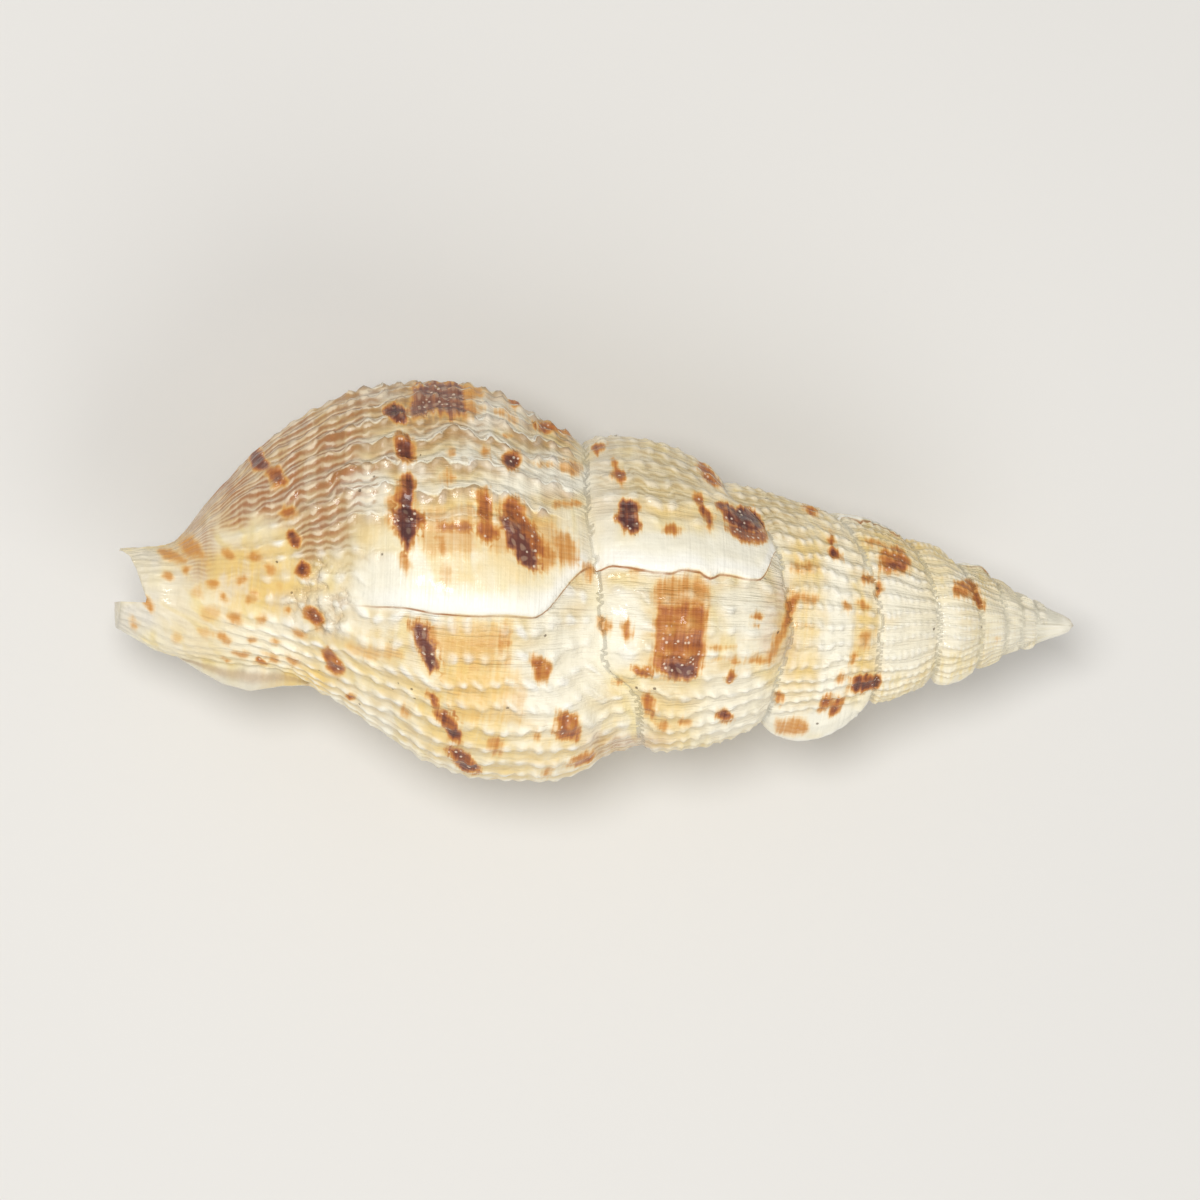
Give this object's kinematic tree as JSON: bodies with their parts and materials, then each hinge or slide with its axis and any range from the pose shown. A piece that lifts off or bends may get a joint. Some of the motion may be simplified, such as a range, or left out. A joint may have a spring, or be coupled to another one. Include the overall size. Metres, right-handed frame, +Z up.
{
  "type": "seashell",
  "caption": "spindle-shaped sea snail shell with a tall banded spire, raised varices, a thick outer lip and a short canal, lying on its aperture",
  "frame": {"origin": "centre of the bounding box at the height of the surface it lies on", "axes": "X runs along the coiling axis with the apex at +X and the canal at -X, +Y is the outer-lip side, Z is up, with the aperture down and the back of the shell up"},
  "size_m": [0.08, 0.0328, 0.0314],
  "materials": {
    "shell": "gloss"
  },
  "bodies": {
    "root": {"shell": "shell"}
  },
  "joints": []
}
